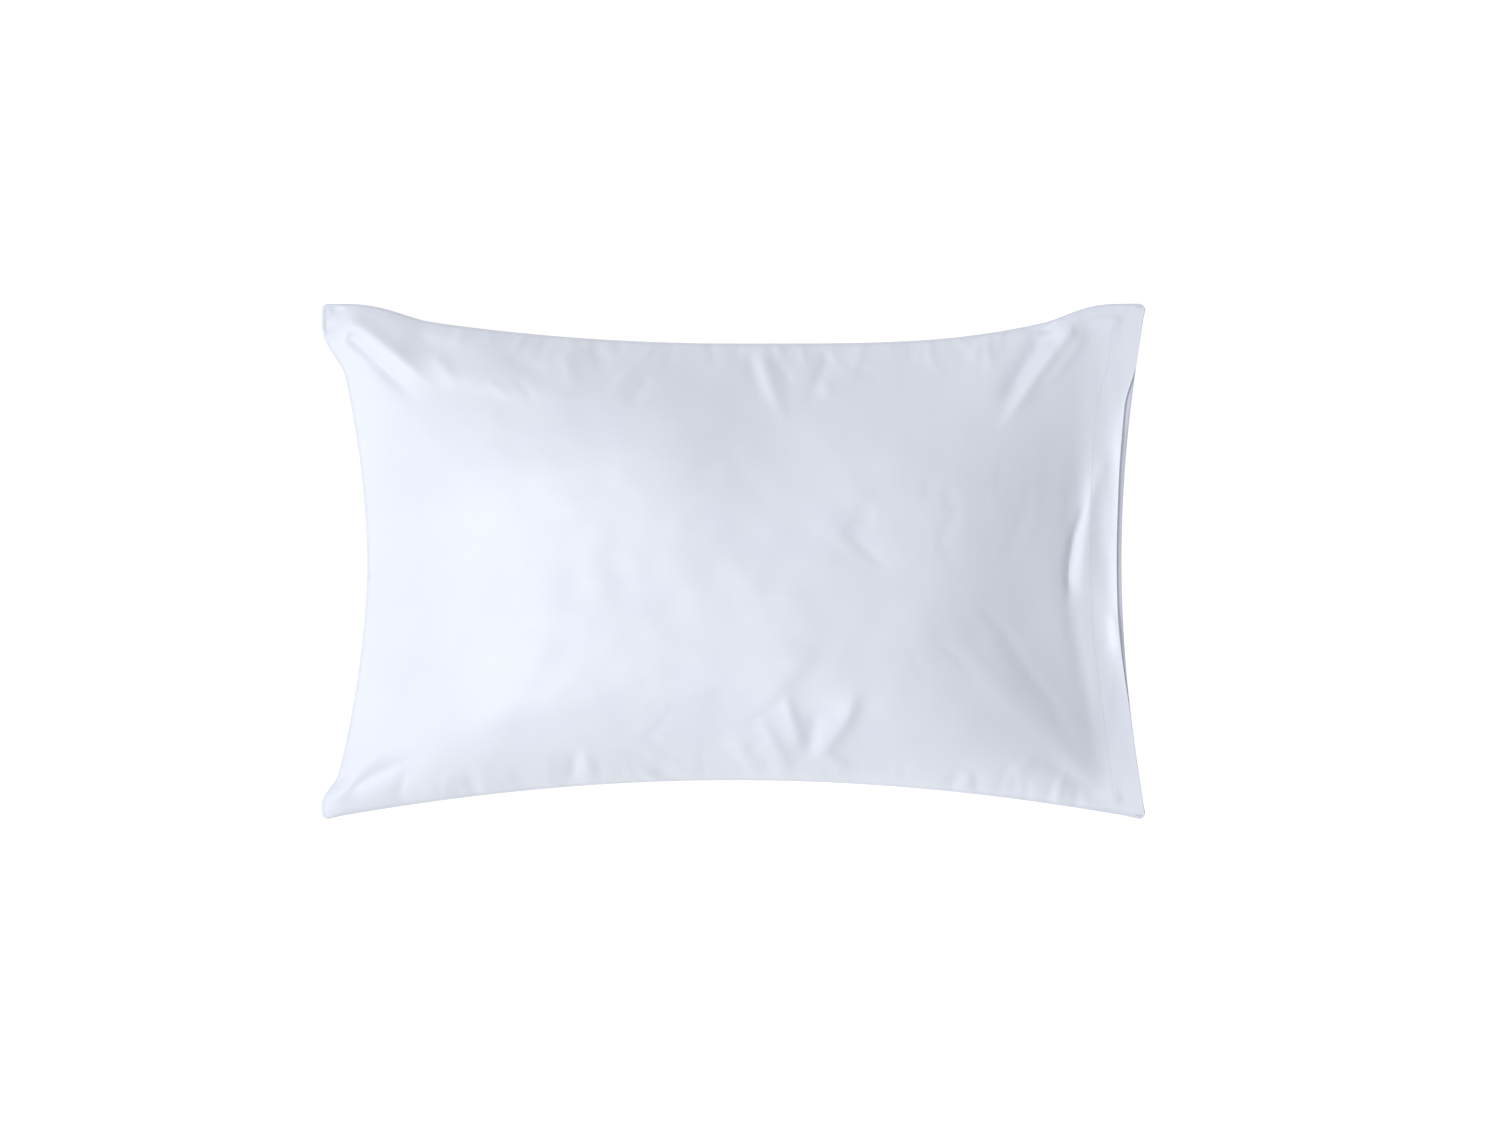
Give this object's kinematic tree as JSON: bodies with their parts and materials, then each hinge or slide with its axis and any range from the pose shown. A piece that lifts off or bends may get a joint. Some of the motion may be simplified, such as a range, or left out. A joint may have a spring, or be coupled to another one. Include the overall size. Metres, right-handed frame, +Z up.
{
  "type": "bed pillow",
  "caption": "Rectangular bed pillow with pulled-in sides in an envelope-mouth cotton pillowcase that it slides out of.",
  "frame": {"origin": "middle of the rectangle that the pillow lies on, on the supporting surface", "axes": "+X along the pillow towards the case's open mouth, +Y across it, +Z up through its thickness"},
  "size_m": [0.724, 0.453, 0.1806],
  "materials": {
    "cotton_sateen": "satin",
    "sewing_thread": "satin",
    "label_satin": "satin",
    "ticking_cotton": "matte",
    "piping_cotton": "matte",
    "polyester_fibre": "matte"
  },
  "bodies": {
    "case": {"case_front_panel": "cotton_sateen", "case_back_panel": "cotton_sateen", "case_mouth_hem": "cotton_sateen", "case_tuck_flap": "cotton_sateen", "case_tuck_flap_hem": "cotton_sateen", "case_mouth_stitching": "sewing_thread", "case_top_seam": "cotton_sateen", "case_bottom_seam": "cotton_sateen", "case_end_seam": "cotton_sateen", "case_top_mouth_tack": "sewing_thread", "case_bottom_mouth_tack": "sewing_thread", "case_care_label": "label_satin"},
    "insert": {"ticking_top_panel": "ticking_cotton", "ticking_bottom_panel": "ticking_cotton", "ticking_piping": "piping_cotton", "ticking_closing_stitch": "sewing_thread", "ticking_label": "label_satin", "fibre_fill": "polyester_fibre"}
  },
  "joints": [
    {"name": "insert_slide", "type": "slide", "parent": "case", "child": "insert", "axis": [1, 0, 0], "range_m": [0, 0.76], "deforming": ["case_front_panel", "case_back_panel", "case_mouth_hem", "case_tuck_flap", "case_tuck_flap_hem", "case_mouth_stitching", "case_top_seam", "case_bottom_seam", "case_end_seam", "case_top_mouth_tack", "case_bottom_mouth_tack", "case_care_label"]}
  ]
}
